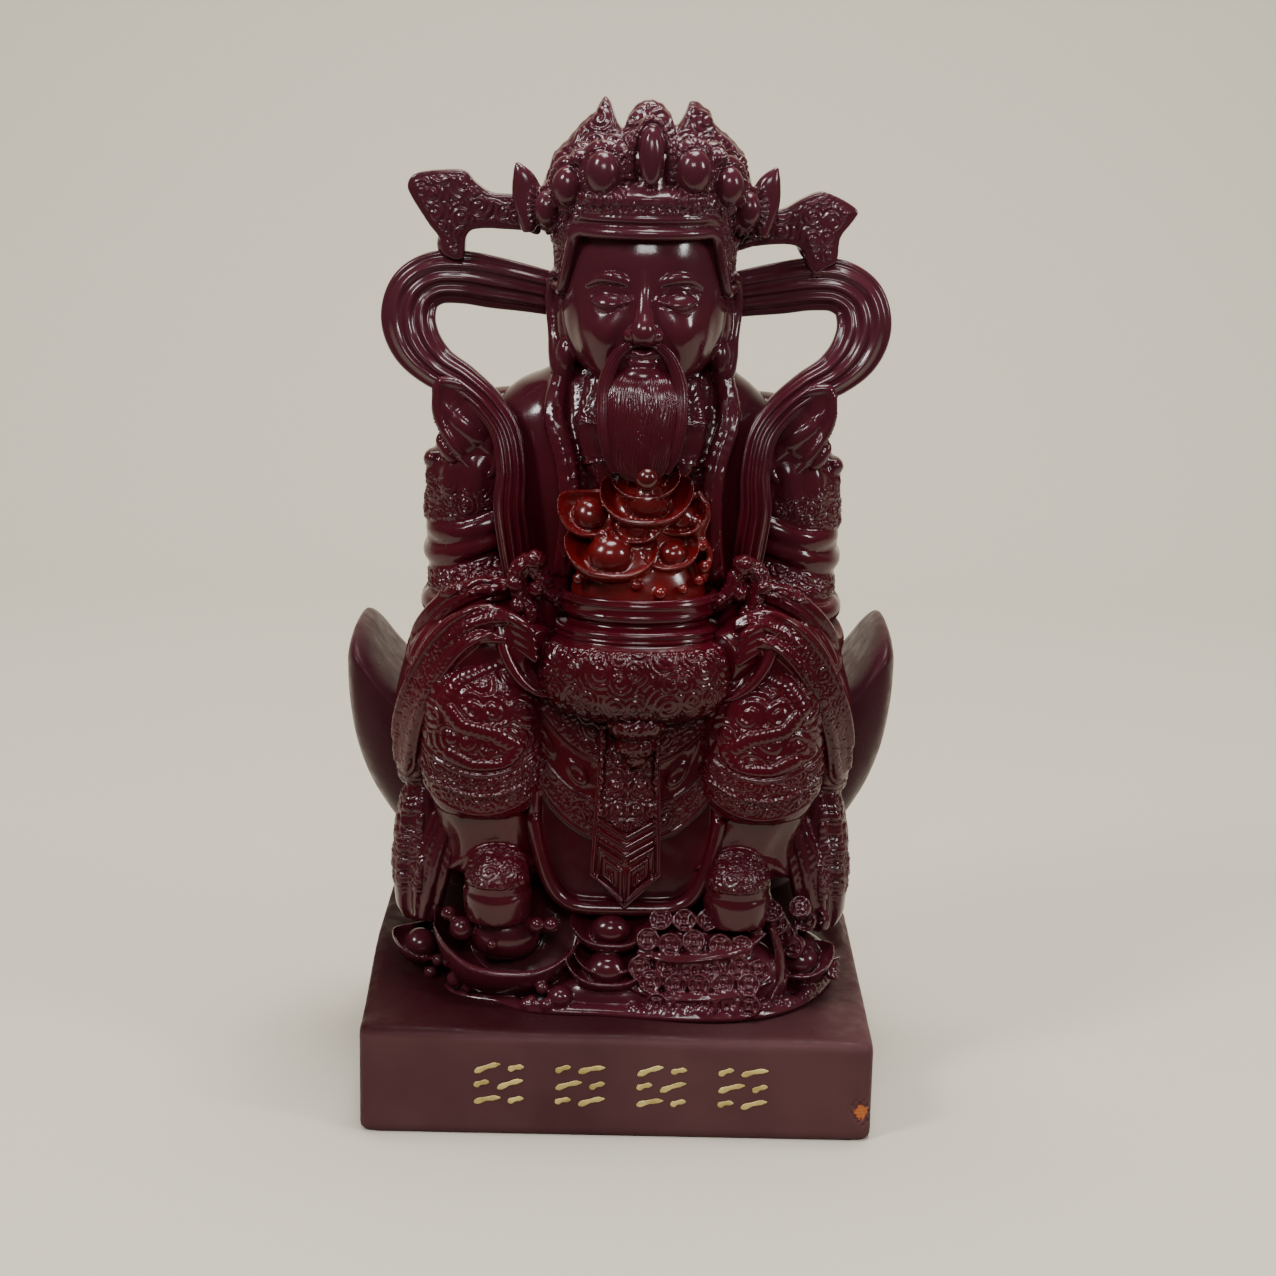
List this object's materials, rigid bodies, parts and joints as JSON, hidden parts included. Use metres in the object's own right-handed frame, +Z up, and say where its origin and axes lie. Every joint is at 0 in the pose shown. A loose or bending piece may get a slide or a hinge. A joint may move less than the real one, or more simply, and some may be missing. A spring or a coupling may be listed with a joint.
{
  "type": "seated caishen figure",
  "caption": "Seated wealth-god figure in glossy dark red resin, holding a treasure bowl on an ingot seat and plinth.",
  "frame": {"origin": "middle of the plinth's underside", "axes": "+Z up, -Y the way the figure faces, +X towards the viewer's right"},
  "size_m": [0.217, 0.16, 0.3946],
  "materials": {
    "red_resin": "glossy translucent dark wine-red cast resin",
    "gold_paint": "dull gold paint laid in the shallow strokes on the plinth's front"
  },
  "bodies": {
    "root": {"caishen_figure": "red_resin"}
  },
  "joints": []
}
